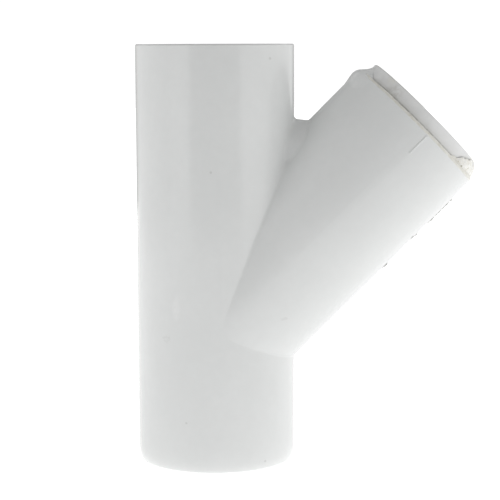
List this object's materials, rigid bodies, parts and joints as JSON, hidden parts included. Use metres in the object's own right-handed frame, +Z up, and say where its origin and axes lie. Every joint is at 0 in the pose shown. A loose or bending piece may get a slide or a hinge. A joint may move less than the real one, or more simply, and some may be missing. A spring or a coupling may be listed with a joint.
{
  "type": "lateral wye pipe fitting",
  "caption": "Plain-ended lateral wye pipe fitting: a straight run with an equal branch at 45 degrees, and a thin sleeve cemented in the branch as a spigot.",
  "frame": {"origin": "centre of the run's lower end face", "axes": "+Z up the run's centre line, +X towards the side the branch rises to, +Y across the plane of the two centre lines"},
  "size_m": [0.2451, 0.1145, 0.302],
  "materials": {
    "body": "semi-matte white rigid plastic",
    "sleeve": "semi-matte white rigid plastic, lightly soiled by cement",
    "cement": "set solvent cement, yellowed and slightly glossy"
  },
  "bodies": {
    "root": {"wye_body": "body", "branch_sleeve": "sleeve", "cement_bead": "cement"}
  },
  "joints": []
}
